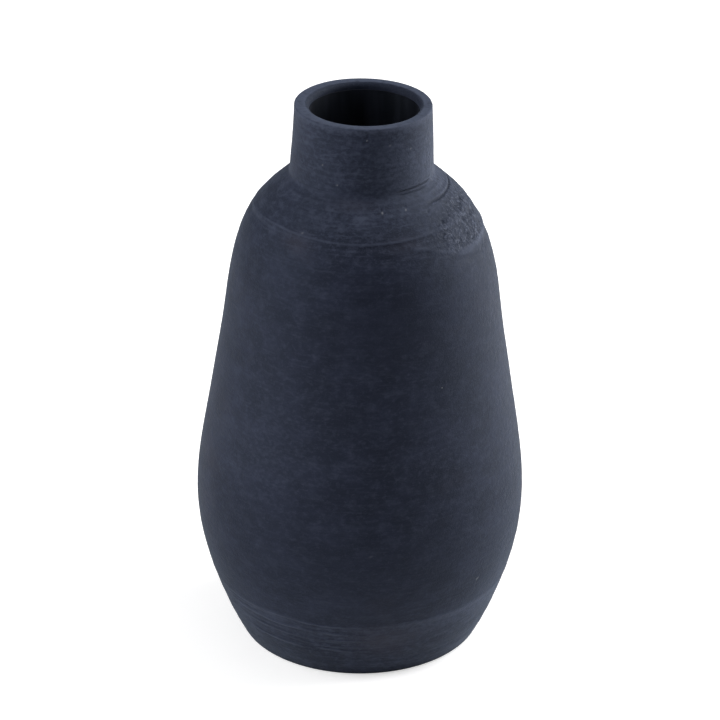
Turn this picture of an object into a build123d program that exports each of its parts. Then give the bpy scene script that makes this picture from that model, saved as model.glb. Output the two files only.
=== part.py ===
from build123d import *

import math
import os
from typing import NamedTuple

# Wheel-thrown stoneware vase, in millimetres: +Z up, origin on the table under the middle of the foot.
# It is built as its potter builds it: a foot section, a belly and a shoulder luted on with slip, and a
# collar neck set on the shoulder and sealed with a coil. A liner glaze coats the inside.

os.makedirs("parts", exist_ok=True)


class Joint(NamedTuple):
    """Where one thrown section is luted to the next."""

    radius: float  # outside radius of the wall there
    height: float  # height of the joint on the outside
    tilt: float  # degrees that the joint rises on its way out through the wall


# ---------------------------------------------------------------- driving sizes
height = 250.0

foot_radius = 53.4
foot_ring_width = 7.0
foot_recess_depth = 1.5
foot_edge_round = 1.5
foot_ring_round = 0.5
floor_height = 10.0
floor_radius = 38.0

heel_radius = 62.0
heel_height = 18.5
heel_flare = 30.0
trim_radius = 66.6
trim_height = 32.0
belly_radius = 72.4
belly_height = 68.5
flank_radius = 67.4
flank_height = 110.0
waist_radius = 60.9
waist_height = 150.0
bend_radius = 56.4
bend_height = 180.0
shoulder_radius = 45.6
shoulder_height = 205.4
collar_radius = 34.7
collar_height = 215.8
collar_slope = 41.0

neck_base_radius = 30.45
neck_base_height = 219.5
neck_base_round = 5.0
rim_radius = 29.35
rim_outer_round = 0.9
rim_inner_round = 2.0

bore_radius = 23.5
bore_base_round = 6.0
wall_low = 7.4
wall_high = 5.4
wall_stations = 10
first_station = 0.14

slip_thickness = 0.8
foot_joint = Joint(trim_radius, trim_height, -16.0)
shoulder_joint = Joint(51.0, 196.0, 22.0)
neck_seat_height = 217.2

coil_bore_radius = 29.7
coil_low = 215.5
coil_high = 222.5

glaze_thickness = 0.4
glaze_line = 3.0

outside = 90.0
joint_reach = 14.0


# ---------------------------------------------------------------- the wall, drawn once
with BuildLine() as outer_wall:
    Spline(
        (foot_radius, 0.0),
        (heel_radius, heel_height),
        (trim_radius, trim_height),
        (belly_radius, belly_height),
        (flank_radius, flank_height),
        (waist_radius, waist_height),
        (bend_radius, bend_height),
        (shoulder_radius, shoulder_height),
        (collar_radius, collar_height),
        tangents=[
            (math.sin(math.radians(heel_flare)), math.cos(math.radians(heel_flare))),
            (-math.cos(math.radians(collar_slope)), math.sin(math.radians(collar_slope))),
        ],
    )


def wall_inside(part_way, inset):
    """A point on the inside of the wall, part way up the outer curve, moved further in by inset."""
    wall = wall_low + (wall_high - wall_low) * part_way
    along = outer_wall.line % part_way
    inward = Vector(-along.Y, along.X, 0)
    return outer_wall.line @ part_way + inward * (wall + inset)


def inside_line(inset):
    """The inside surface from the middle of the floor up to the rim, moved into the hollow by inset."""
    floor = floor_height + inset
    bore = bore_radius - inset
    ways = [1 - (1 - first_station) * n / (wall_stations - 1) for n in reversed(range(wall_stations))]
    stations = [wall_inside(way, inset) for way in ways]
    slopes = [outer_wall.line % way for way in ways]
    bore_foot = stations[-1] + slopes[-1] * ((bore - stations[-1].X) / slopes[-1].X)
    with BuildLine() as line:
        Line((0, floor), (floor_radius, floor))
        Spline((floor_radius, floor), *stations, tangents=[(1, 0), *slopes])
        FilletPolyline(stations[-1], bore_foot, (bore, height), radius=bore_base_round)
    return line.line


with BuildSketch() as wall_outline:
    with BuildLine():
        add(inside_line(0.0))
        add(outer_wall.line)
        FilletPolyline(
            (collar_radius, collar_height),
            (neck_base_radius, neck_base_height),
            (rim_radius, height),
            radius=neck_base_round,
        )
        Line((rim_radius, height), (bore_radius, height))
        Polyline(
            (foot_radius, 0.0),
            (foot_radius - foot_ring_width, 0.0),
            (foot_radius - foot_ring_width - foot_recess_depth, foot_recess_depth),
            (0.0, foot_recess_depth),
            (0.0, floor_height),
        )
    make_face()
    corners = wall_outline.vertices()
    fillet(corners.sort_by_distance((rim_radius, height))[0], rim_outer_round)
    fillet(corners.sort_by_distance((bore_radius, height))[0], rim_inner_round)
    fillet(corners.sort_by_distance((foot_radius, 0.0))[0], foot_edge_round)
    fillet(corners.sort_by_distance((foot_radius - foot_ring_width, 0.0))[0], foot_ring_round)

with BuildSketch() as glaze_outline:
    with BuildLine():
        add(inside_line(0.0))
        add(inside_line(glaze_thickness))
        Line((0, floor_height), (0, floor_height + glaze_thickness))
        Line((bore_radius, height), (bore_radius - glaze_thickness, height))
    make_face()
    with Locations((0, height - glaze_line)):
        Rectangle(outside, outside, align=(Align.MIN, Align.MIN), mode=Mode.SUBTRACT)


def joint_line(joint, side):
    """The ends, inside then outside, of one face of a joint: side is 1 for its top, -1 for its bottom."""
    tilt = math.radians(joint.tilt)
    rise = side * slip_thickness / 2 / math.cos(tilt)
    reach = joint_reach * math.tan(tilt)
    return [
        (joint.radius - joint_reach, joint.height + rise - reach),
        (joint.radius + joint_reach, joint.height + rise + reach),
    ]


# ---------------------------------------------------------------- foot: floor and trimmed lower wall
with BuildPart() as foot:
    with BuildSketch(Plane.XZ):
        add(wall_outline.sketch)
        with BuildLine():
            inner_end, outer_end = joint_line(foot_joint, -1)
            Polyline((0, 0), (outside, 0), outer_end, inner_end, (0, inner_end[1]), close=True)
        make_face(mode=Mode.INTERSECT)
    revolve(axis=Axis.Z)

foot.part.label = "foot"
export_step(foot.part, "parts/foot.step")


# ---------------------------------------------------------------- slip between foot and belly
with BuildPart() as foot_slip_seam:
    with BuildSketch(Plane.XZ):
        add(wall_outline.sketch)
        with BuildLine():
            Polyline(*joint_line(foot_joint, -1), *reversed(joint_line(foot_joint, 1)), close=True)
        make_face(mode=Mode.INTERSECT)
    revolve(axis=Axis.Z)

foot_slip_seam.part.label = "foot_slip_seam"
export_step(foot_slip_seam.part, "parts/foot_slip_seam.step")


# ---------------------------------------------------------------- belly: the long thrown wall
with BuildPart() as belly:
    with BuildSketch(Plane.XZ):
        add(wall_outline.sketch)
        with BuildLine():
            Polyline(*joint_line(foot_joint, 1), *reversed(joint_line(shoulder_joint, -1)), close=True)
        make_face(mode=Mode.INTERSECT)
    revolve(axis=Axis.Z)

belly.part.label = "belly"
export_step(belly.part, "parts/belly.step")


# ---------------------------------------------------------------- slip between belly and shoulder
with BuildPart() as shoulder_slip_seam:
    with BuildSketch(Plane.XZ):
        add(wall_outline.sketch)
        with BuildLine():
            Polyline(*joint_line(shoulder_joint, -1), *reversed(joint_line(shoulder_joint, 1)), close=True)
        make_face(mode=Mode.INTERSECT)
    revolve(axis=Axis.Z)

shoulder_slip_seam.part.label = "shoulder_slip_seam"
export_step(shoulder_slip_seam.part, "parts/shoulder_slip_seam.step")


# ---------------------------------------------------------------- shoulder: the dome under the neck
with BuildPart() as shoulder:
    with BuildSketch(Plane.XZ):
        add(wall_outline.sketch)
        with BuildLine():
            Polyline(
                *joint_line(shoulder_joint, 1),
                (outside, coil_low),
                (coil_bore_radius, coil_low),
                (coil_bore_radius, neck_seat_height),
                (0, neck_seat_height),
                close=True,
            )
        make_face(mode=Mode.INTERSECT)
    revolve(axis=Axis.Z)

shoulder.part.label = "shoulder"
export_step(shoulder.part, "parts/shoulder.step")


# ---------------------------------------------------------------- slip between shoulder and neck
with BuildPart() as neck_slip_seam:
    with BuildSketch(Plane.XZ):
        add(wall_outline.sketch)
        with Locations((0, neck_seat_height)):
            Rectangle(coil_bore_radius, slip_thickness, align=(Align.MIN, Align.MIN), mode=Mode.INTERSECT)
    revolve(axis=Axis.Z)

neck_slip_seam.part.label = "neck_slip_seam"
export_step(neck_slip_seam.part, "parts/neck_slip_seam.step")


# ---------------------------------------------------------------- neck: collar and rim
with BuildPart() as neck:
    with BuildSketch(Plane.XZ):
        add(wall_outline.sketch)
        with BuildLine():
            Polyline(
                (0, neck_seat_height + slip_thickness),
                (coil_bore_radius, neck_seat_height + slip_thickness),
                (coil_bore_radius, coil_high),
                (outside, coil_high),
                (outside, height),
                (0, height),
                close=True,
            )
        make_face(mode=Mode.INTERSECT)
    revolve(axis=Axis.Z)

neck.part.label = "neck"
export_step(neck.part, "parts/neck.step")


# ---------------------------------------------------------------- coil pressed round the foot of the neck
with BuildPart() as neck_coil:
    with BuildSketch(Plane.XZ):
        add(wall_outline.sketch)
        with Locations((coil_bore_radius, coil_low)):
            Rectangle(outside, coil_high - coil_low, align=(Align.MIN, Align.MIN), mode=Mode.INTERSECT)
    revolve(axis=Axis.Z)

neck_coil.part.label = "neck_coil"
export_step(neck_coil.part, "parts/neck_coil.step")


# ---------------------------------------------------------------- liner glaze on the inside
with BuildPart() as inner_glaze:
    with BuildSketch(Plane.XZ):
        add(glaze_outline.sketch)
    revolve(axis=Axis.Z)

inner_glaze.part.label = "inner_glaze"
export_step(inner_glaze.part, "parts/inner_glaze.step")
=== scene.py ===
import logging
import math
from dataclasses import dataclass
from enum import Enum

import bmesh
import bpy
import numpy as np
from mathutils import Matrix, Vector


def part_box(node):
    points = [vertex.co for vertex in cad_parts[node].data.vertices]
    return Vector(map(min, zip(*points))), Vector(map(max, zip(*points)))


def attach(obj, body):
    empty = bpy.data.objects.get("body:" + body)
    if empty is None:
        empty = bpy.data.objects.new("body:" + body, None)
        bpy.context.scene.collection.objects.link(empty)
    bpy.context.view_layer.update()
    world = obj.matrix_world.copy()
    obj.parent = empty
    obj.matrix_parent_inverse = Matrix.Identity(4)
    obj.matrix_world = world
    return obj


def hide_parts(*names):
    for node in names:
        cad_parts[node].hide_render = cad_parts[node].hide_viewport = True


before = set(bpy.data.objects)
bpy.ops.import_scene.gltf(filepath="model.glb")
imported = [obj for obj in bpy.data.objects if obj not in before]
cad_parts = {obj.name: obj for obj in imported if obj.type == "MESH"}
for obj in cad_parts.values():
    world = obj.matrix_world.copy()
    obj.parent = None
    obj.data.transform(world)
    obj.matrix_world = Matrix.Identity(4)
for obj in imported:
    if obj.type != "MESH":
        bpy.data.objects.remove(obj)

# A wheel-thrown, unglazed stoneware vase, in metres: +Z up, its front towards -Y. Each thrown section,
# slip joint, coil and glaze is a piece of its own, turned from one wall and then marked by hand.

log = logging.getLogger("vase")

MM = 0.001
CLOSE = 1e-6
Stations = tuple[tuple[float, float], ...]
Outline = list[tuple[float, float]]
Colour = tuple[float, float, float, float]


class Slot(Enum):
    """The material slots of the pieces."""

    CLAY = "stoneware_clay"
    SLIP = "fired_slip"
    GLAZE = "liner_glaze"


class Mark(Enum):
    """Values that each clay piece carries on its points for its finish to read."""

    RELIEF = "relief"
    SCUFF_AND_PAINTED_LIGHT = "scuff_and_painted_light"
    GRIT = "grit"
    SPECK = "speck"
    WHEEL = "wheel"
    EARTH = "earth"


def millimetres(*stations: tuple[float, float]) -> Stations:
    """Brings pairs of millimetres to metres."""
    return tuple((first * MM, second * MM) for first, second in stations)


def put_in_scene(name: str, data: bpy.types.ID) -> bpy.types.Object:
    """Makes an object of a mesh, a lamp or a camera and links it to the scene.

    Args:
        name: the object's name.
        data: what it shows.

    Returns:
        The object, at the origin.
    """
    thing = bpy.data.objects.new(name, data)
    bpy.context.scene.collection.objects.link(thing)
    return thing


# ---------------------------------------------------------------------------------------------- shape


@dataclass(frozen=True)
class ThrownCurve:
    """A smooth line through a few (radius, height) stations, as a rib leaves it on a turning wall.

    Attributes:
        stations: radius and height of each point that the line passes through.
        start: direction of the line at its first station.
        end: direction of the line at its last station.
    """

    stations: Stations
    start: tuple[float, float]
    end: tuple[float, float]

    def trace(self, count: int) -> np.ndarray:
        """Follows the line from its first station to its last.

        Args:
            count: how many points to take.

        Returns:
            A row of radius and height for each point.
        """
        points = np.array(self.stations)
        gaps = np.hypot(*np.diff(points, axis=0).T)
        knots = np.concatenate([[0.0], np.cumsum(gaps)])
        slopes = self._slopes(points, gaps)
        ways = np.linspace(0.0, knots[-1], count)
        span = np.clip(np.searchsorted(knots, ways, side="right") - 1, 0, len(gaps) - 1)
        gap = gaps[span][:, None]
        t = (ways - knots[span])[:, None] / gap
        rest = 1.0 - t
        return (
            points[span] * (1 + 2 * t) * rest**2
            + points[span + 1] * (3 - 2 * t) * t**2
            + slopes[span] * gap * t * rest**2
            - slopes[span + 1] * gap * rest * t**2
        )

    def _slopes(self, points: np.ndarray, gaps: np.ndarray) -> np.ndarray:
        """Directions at the stations that leave no kink and no jump in curvature.

        Args:
            points: the stations, one row each.
            gaps: the distance from each station to the next.

        Returns:
            The line's direction at each station.
        """
        count = len(points)
        left = np.eye(count)
        right = np.zeros((count, 2))
        right[0] = self.start
        right[-1] = self.end
        for n in range(1, count - 1):
            before, after = gaps[n - 1], gaps[n]
            left[n, n - 1 : n + 2] = after, 2 * (before + after), before
            rise_in, rise_out = points[n] - points[n - 1], points[n + 1] - points[n]
            right[n] = 3 * (after * rise_in / before + before * rise_out / after)
        return np.linalg.solve(left, right)


def soft_larger(first: np.ndarray, second: np.ndarray, blend: float) -> np.ndarray:
    """The larger of two values, rounded over where they cross.

    Args:
        first: one set of values.
        second: the other set.
        blend: about how far from the crossing the rounding reaches.

    Returns:
        The rounded larger values.
    """
    return (first + second + np.sqrt((first - second) ** 2 + blend**2)) / 2


def stretch(trace: np.ndarray, low: float, high: float, spacing: float) -> Outline:
    """Takes the part of a traced line between two heights, at even steps.

    Args:
        trace: radius and height rows, with rising heights.
        low: height of the first point.
        high: height of the last point.
        spacing: about how far apart the points are.

    Returns:
        Radius and height of each point, both ends included.
    """
    radii, heights = trace.T
    between = trace[(heights > low + CLOSE) & (heights < high - CLOSE)]
    ends = np.array([(np.interp(level, heights, radii), level) for level in (low, high)])
    line = np.vstack([ends[:1], between, ends[1:]])
    run = np.concatenate([[0.0], np.cumsum(np.hypot(*np.diff(line, axis=0).T))])
    ways = np.linspace(0.0, run[-1], max(2, round(run[-1] / spacing) + 1))
    return list(zip(np.interp(ways, run, line[:, 0]), np.interp(ways, run, line[:, 1])))


@dataclass(frozen=True)
class Wall:
    """The vase's one wall, outside and inside, which every thrown section is cut from.

    Attributes:
        height: from the table to the rim.
        outline: radius and height of the stations of the outside, from foot to collar.
        heel_flare: how far the wall leans out where it leaves the table, in degrees.
        collar_slope: how steeply the shoulder climbs where it meets the neck, in degrees.
        neck_root: radius and height where the neck would meet the shoulder with no coil.
        rim_radius: outside radius at the rim.
        root_blend: size of the hollow curve at the neck's root.
        bore_radius: inside radius of the neck.
        bore_blend: size of the rounding where the bore opens into the shoulder.
        floor_height: height of the floor inside.
        floor_radius: how far the floor stays flat.
        wall_low: thickness of the wall at the foot.
        wall_high: thickness of the wall at the collar.
        first_station: how far up the outside, as a share of it, the flat floor's corner ends.
        tracing: number of points in each traced line.
    """

    height: float
    outline: Stations = millimetres(
        (53.4, 0.0),
        (62.0, 18.5),
        (66.6, 32.0),
        (72.4, 68.5),
        (67.4, 110.0),
        (60.9, 150.0),
        (56.4, 180.0),
        (45.6, 205.4),
        (34.7, 215.8),
    )
    heel_flare: float = 30.0
    collar_slope: float = 41.0
    neck_root: tuple[float, float] = (30.45 * MM, 219.5 * MM)
    rim_radius: float = 29.35 * MM
    root_blend: float = 1.1 * MM
    bore_radius: float = 23.5 * MM
    bore_blend: float = 1.4 * MM
    floor_height: float = 10.0 * MM
    floor_radius: float = 38.0 * MM
    wall_low: float = 7.4 * MM
    wall_high: float = 5.4 * MM
    first_station: float = 0.14
    tracing: int = 1200

    def body_curve(self) -> ThrownCurve:
        """Draws the outside from the foot to the collar.

        Returns:
            Its line.
        """
        flare = math.radians(self.heel_flare)
        slope = math.radians(self.collar_slope)
        return ThrownCurve(
            self.outline, (math.sin(flare), math.cos(flare)), (-math.cos(slope), math.sin(slope))
        )

    def outside(self) -> np.ndarray:
        """Traces the outside from the table to the rim, the neck's hollow root included.

        Returns:
            Radius and height rows, from the table up.
        """
        shoulder, heights = self._carry_on(self.body_curve().trace(self.tracing))
        root_radius, root_height = self.neck_root
        way = (heights - root_height) / (self.height - root_height)
        neck = root_radius + (self.rim_radius - root_radius) * way
        return np.column_stack([soft_larger(shoulder, neck, self.root_blend), heights])

    def inside(self, coat: float = 0.0) -> np.ndarray:
        """Traces the inside from the edge of the floor to the rim.

        Args:
            coat: thickness of what covers the clay there.

        Returns:
            Radius and height rows, from the floor up.
        """
        body = self.body_curve().trace(self.tracing)
        along = np.gradient(body, axis=0)
        along /= np.hypot(*along.T)[:, None]
        part_way = np.linspace(0.0, 1.0, len(body))
        thickness = self.wall_low + (self.wall_high - self.wall_low) * part_way + coat
        inner = body + np.column_stack([-along[:, 1], along[:, 0]]) * thickness[:, None]
        inner = inner[part_way >= self.first_station]
        corner = ThrownCurve(
            ((self.floor_radius, self.floor_height + coat), tuple(inner[0])), (1.0, 0.0), tuple(along[0])
        )
        dome, heights = self._carry_on(np.vstack([corner.trace(self.tracing // 10)[:-1], inner]))
        bore = np.full_like(heights, self.bore_radius - coat)
        return np.column_stack([soft_larger(dome, bore, self.bore_blend), heights])

    def _carry_on(self, body: np.ndarray) -> tuple[np.ndarray, np.ndarray]:
        """Carries a traced line on to the height of the rim, at the collar's slope.

        Args:
            body: radius and height rows, up to the collar.

        Returns:
            The radii and the heights of the longer line.
        """
        heights = np.concatenate([body[:, 1], np.linspace(body[-1, 1], self.height, self.tracing)[1:]])
        beyond = np.maximum(heights - body[-1, 1], 0.0) / math.tan(math.radians(self.collar_slope))
        return np.interp(heights, body[:, 1], body[:, 0]) - beyond, heights

    def crossing(self, height: float, tilt: float) -> tuple[float, float]:
        """Finds where a joint that starts outside at a height comes out on the inside.

        Args:
            height: the joint's height on the outside.
            tilt: degrees that the joint rises on its way out through the wall.

        Returns:
            The joint's radius and height on the inside.
        """
        outside, inside = self.outside(), self.inside()
        outer = np.interp(height, outside[:, 1], outside[:, 0])
        fall = math.tan(math.radians(tilt))
        gap = inside[:, 1] - (height - (outer - inside[:, 0]) * fall)
        near = np.abs(inside[:, 1] - height) < 3 * self.wall_low
        nearest = np.argmin(np.where(near, np.abs(gap), np.inf))
        return float(inside[nearest, 0]), float(inside[nearest, 1])


# ---------------------------------------------------------------------------------------- hand marks


@dataclass(frozen=True)
class Unevenness:
    """Smooth seeded unevenness over the turning wall.

    Attributes:
        seed: which unevenness it is.
        around: how many patches go round the wall.
        tall: height of one patch.
        depth: how strong it is at most.
        span: height that its patches cover.
    """

    seed: int
    around: int
    tall: float
    depth: float = 1.0
    span: float = 0.30

    def at(self, angle: np.ndarray, height: np.ndarray) -> np.ndarray:
        """Reads the unevenness.

        Args:
            angle: degrees round from the front.
            height: metres above the table.

        Returns:
            Values from minus the depth to the depth.
        """
        rows = int(self.span / self.tall) + 3
        patches = np.random.default_rng(self.seed).uniform(-1.0, 1.0, (rows, self.around))
        across = (angle % 360.0) / 360.0 * self.around
        up = np.clip(height / self.tall + 1.0, 0.0, rows - 2.001)
        column, row = across.astype(int), up.astype(int)
        u, v = across - column, up - row
        u, v = u * u * (3 - 2 * u), v * v * (3 - 2 * v)
        column %= self.around
        after = (column + 1) % self.around
        low = patches[row, column] * (1 - u) + patches[row, after] * u
        high = patches[row + 1, column] * (1 - u) + patches[row + 1, after] * u
        return self.depth * (low * (1 - v) + high * v)


def fade(value: np.ndarray, start: float, end: float) -> np.ndarray:
    """Rises smoothly from 0 at start to 1 at end, whichever of the two is larger."""
    t = np.clip((value - start) / (end - start), 0.0, 1.0)
    return t * t * (3 - 2 * t)


def turn_from(angle: np.ndarray, middle: float) -> np.ndarray:
    """Degrees round the wall from a middle, the short way, from -180 to 180."""
    return (angle - middle + 180.0) % 360.0 - 180.0


@dataclass(frozen=True)
class Sector:
    """A stretch of the way round the wall, with soft ends.

    Attributes:
        middle: degrees from the front to its middle, to the right.
        end: degrees from its middle to where it has died out.
        full: degrees from its middle to where it is still whole.
    """

    middle: float
    end: float
    full: float

    def at(self, angle: np.ndarray) -> np.ndarray:
        """How far inside it each point is, from 0 outside to 1."""
        return fade(np.abs(turn_from(angle, self.middle)), self.end, self.full)


@dataclass(frozen=True)
class Belt:
    """A belt of heights all round the wall, with soft edges.

    Attributes:
        low: the height where it starts.
        full_low: the height above which it is whole.
        full_high: the height up to which it is whole.
        high: the height where it has died out.
    """

    low: float
    full_low: float
    full_high: float
    high: float

    def at(self, height: np.ndarray) -> np.ndarray:
        """How far inside it each point is, from 0 outside to 1."""
        return fade(height, self.low, self.full_low) * fade(height, self.high, self.full_high)


@dataclass(frozen=True)
class TurnedLine:
    """A ridge, or with a negative rise a groove, that a tool or a finger left round the wall.

    Attributes:
        height: where it is at its middle.
        rise: how far it stands out.
        width: half its width.
        middle: degrees from the front to its middle, to the right.
        reach: degrees from its middle to where it has died out.
        climb: how much higher it is for each 90 degrees to the right.
        wander: how far it strays from level.
        seed: which way it strays.
    """

    height: float
    rise: float
    width: float
    middle: float = 0.0
    reach: float = 400.0
    climb: float = 0.0
    wander: float = 0.5 * MM
    seed: int = 1

    def relief(self, angle: np.ndarray, height: np.ndarray) -> np.ndarray:
        """Works out how far the line lifts each point.

        Args:
            angle: degrees round from the front.
            height: metres above the table.

        Returns:
            The lift of each point, in metres.
        """
        away = turn_from(angle, self.middle)
        level = self.height + self.climb * np.sin(np.radians(away))
        level = level + self.wander * Unevenness(self.seed, 7, 1.0).at(angle, height)
        strength = fade(np.abs(away), self.reach, self.reach * 0.55)
        return self.rise * strength * np.exp(-(((height - level) / self.width) ** 2))


@dataclass(frozen=True)
class Pit:
    """A small hole where a bit of grit was dragged out or burnt away.

    Attributes:
        angle: degrees from the front, to the right.
        height: metres above the table.
        size: its radius.
        depth: how deep it is.
    """

    angle: float
    height: float
    size: float = 0.7 * MM
    depth: float = 0.35 * MM

    def closeness(self, angle: np.ndarray, height: np.ndarray, radius: np.ndarray) -> np.ndarray:
        """1 at its middle, falling to 0 past its edge."""
        across = np.radians(turn_from(angle, self.angle)) * radius
        return np.exp(-((across**2 + (height - self.height) ** 2) / self.size**2))


@dataclass(frozen=True)
class WearAndLightPatch:
    """A patch where handling rubbed the skin pale, or with a negative strength left it dark; some
    patches are painted highlight or painted shade.

    Attributes:
        angle: degrees from the front, to the right.
        height: metres above the table.
        across: half its width in degrees.
        tall: half its height.
        strength: how strong it is at its middle.
    """

    angle: float
    height: float
    across: float
    tall: float
    strength: float

    def amount(self, angle: np.ndarray, height: np.ndarray) -> np.ndarray:
        """How strong the patch is at each point."""
        away = turn_from(angle, self.angle) / self.across
        return self.strength * np.exp(-(away**2) - ((height - self.height) / self.tall) ** 2)


@dataclass(frozen=True)
class PottersHand:
    """All that the throwing, trimming, joining and handling left on the outside, and the highlight and
    shade painted on it.

    Attributes:
        lines: ridges and grooves.
        pits: holes.
        specks: pale grains of grog that show at the surface.
        rubs_and_painted_light: patches rubbed pale or left dark, and patches of painted highlight and
            painted shade.
        smears: smears of warmer clay.
        trim_height: top of the band that was trimmed with a tool.
        neck_start: height above which the neck was set a little askew.
        height: height of the rim.
        trim_depth: how far the trimmed band is cut back.
        sway: how far the wall stands to the right of the foot, and the height there.
        swell: how far the wall stands out past the drawn line, and the height there.
        rim_dip: degrees that the rim falls towards the right.
        bore_shift: how far the bore is off the neck's middle, to the right.
        foot_calm: height below which the foot stays true.
        rough_side: the rough patch's place round the wall.
        rough_belt: the rough patch's heights.
        rough_flank: the slightly rough side.
        calm_side: the side where the wheel's marks are faint.
        shoulder: heights of the shoulder, where the wheel's marks are clear.
        busy: heights where the throwing rings are deepest.
        neck_edge: heights between which the neck's own wheel marks begin.
        lip_highlight_lines: radius and width of the pale line along each edge of the rim, painted
            highlight with some wear.
        rings: throwing rings.
        threads: finer rings that climb round the wall.
        thread_turn: degrees that those rings turn for each metre.
        lumps: the wall's unevenness, broad to fine, in millimetres.
        grain: the grain of the rough patch, in millimetres.
        facets: the cuts of the trimming tool.
        facet_turn: degrees that those cuts turn for each metre.
    """

    lines: tuple[TurnedLine, ...]
    pits: tuple[Pit, ...]
    specks: tuple[Pit, ...]
    rubs_and_painted_light: tuple[WearAndLightPatch, ...]
    smears: tuple[WearAndLightPatch, ...]
    trim_height: float
    neck_start: float
    height: float
    trim_depth: float = 0.08 * MM
    sway: Stations = millimetres(
        (0.0, 0.0),
        (0.0, 45),
        (-0.12, 60),
        (0.20, 95),
        (0.62, 120),
        (1.03, 150),
        (1.20, 180),
        (0.72, 202),
        (0.66, 218),
        (1.25, 232),
        (1.70, 252),
    )
    swell: Stations = millimetres(
        (0.30, 0.0),
        (0.28, 30),
        (0.42, 48),
        (0.30, 64),
        (0.06, 90),
        (0.20, 110),
        (0.45, 128),
        (0.22, 155),
        (0.12, 180),
        (-0.16, 202),
        (0.10, 213),
        (0.34, 223),
        (0.16, 235),
        (0.05, 252),
    )
    rim_dip: float = 0.8
    bore_shift: float = 0.45 * MM
    foot_calm: float = 3.0 * MM
    rough_side: Sector = Sector(71.0, 36.0, 12.0)
    rough_belt: Belt = Belt(193 * MM, 198 * MM, 207 * MM, 214 * MM)
    rough_flank: Sector = Sector(94.0, 52.0, 16.0)
    calm_side: Sector = Sector(-80.0, 75.0, 30.0)
    shoulder: Belt = Belt(190 * MM, 206 * MM, 216 * MM, 222 * MM)
    busy: Belt = Belt(176 * MM, 190 * MM, 214 * MM, 222 * MM)
    neck_edge: tuple[float, float] = (218 * MM, 224 * MM)
    lip_highlight_lines: Stations = millimetres((25.7, 0.5), (29.1, 0.4))
    rings: Unevenness = Unevenness(21, 3, 3.2 * MM, 0.024)
    threads: Unevenness = Unevenness(22, 5, 1.7 * MM, 0.020)
    thread_turn: float = 900.0
    lumps: tuple[Unevenness, ...] = (
        Unevenness(23, 7, 34 * MM, 0.09),
        Unevenness(24, 18, 13 * MM, 0.05),
        Unevenness(27, 60, 4.5 * MM, 0.020),
    )
    grain: Unevenness = Unevenness(25, 250, 1.2 * MM, 0.22)
    facets: Unevenness = Unevenness(26, 3, 2.3 * MM, 0.05 * MM)
    facet_turn: float = -2400.0

    def grit(self, angle: np.ndarray, height: np.ndarray) -> np.ndarray:
        """Works out how rough the skin is: roughest on the right of the shoulder.

        Args:
            angle: degrees round from the front.
            height: metres above the table.

        Returns:
            Values from 0 to 1.
        """
        blotches = 0.5 + 0.5 * Unevenness(11, 30, 6 * MM).at(angle, height)
        patch = self.rough_side.at(angle) * self.rough_belt.at(height) * (0.34 + 0.9 * blotches)
        return np.clip(patch + self.rough_flank.at(angle) * (0.08 + 0.34 * blotches), 0.0, 1.0)

    def wheel(self, angle: np.ndarray, height: np.ndarray) -> np.ndarray:
        """Works out how clearly the wheel's fine turning marks show.

        Args:
            angle: degrees round from the front.
            height: metres above the table.

        Returns:
            Values from 0 to 1.
        """
        shoulder = (1.0 - 0.45 * self.calm_side.at(angle)) * self.shoulder.at(height)
        foot = fade(height, self.trim_height + 3 * MM, self.trim_height - 3 * MM)
        return 0.22 + 0.58 * shoulder + 0.50 * foot + 0.42 * fade(height, *self.neck_edge)

    def earth(self, angle: np.ndarray, height: np.ndarray) -> np.ndarray:
        """How much a smear of warmer clay covers the skin, from 0 to 1."""
        return sum(smear.amount(angle, height) for smear in self.smears)

    def scuff_and_painted_light(self, angle: np.ndarray, height: np.ndarray, radius: np.ndarray) -> np.ndarray:
        """Works out how much the skin is rubbed pale, and where highlight and shade are painted: the
        rim's top and edges, the upper shoulder and some patches lighter, the inside of the mouth and
        some patches darker.

        Args:
            angle: degrees round from the front.
            height: metres above the table.
            radius: metres from the axis.

        Returns:
            Values from -1, dark, to 1, pale.
        """
        edge = self.trim_height + Unevenness(14, 9, 1.0, 1.2 * MM).at(angle, height)
        band = fade(height, edge + 1.5 * MM, edge - 1.5 * MM)
        patches = 0.5 + 0.5 * Unevenness(12, 26, 8 * MM).at(angle, height)
        total = band * (0.06 + 0.22 * patches) + Unevenness(15, 13, 21 * MM, 0.06).at(angle, height)
        # painted highlight: lighter towards the top of the shoulder and on the neck, standing in for
        # light from the front
        total = total + 0.16 * fade(height, 204 * MM, 216 * MM)
        # painted highlight with some wear: the rim's flat top lighter, with a paler line along each of
        # its edges
        inner_lip_highlight, outer_lip_highlight = (
            np.exp(-(((radius - middle) / width) ** 2)) for middle, width in self.lip_highlight_lines
        )
        top = fade(height, self.height - 1.4 * MM, self.height - 0.6 * MM)
        total = total + top * (0.72 + 0.50 * inner_lip_highlight + 0.75 * outer_lip_highlight)
        # painted shade: darker inside the mouth, down into the bore
        mouth = fade(height, self.height - 9 * MM, self.height - 5 * MM)
        total = total - 1.7 * fade(radius, 25.5 * MM, 24.6 * MM) * mouth
        for rub in self.rubs_and_painted_light:
            total = total + rub.amount(angle, height)
        return np.clip(total, -1.0, 1.0)

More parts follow.
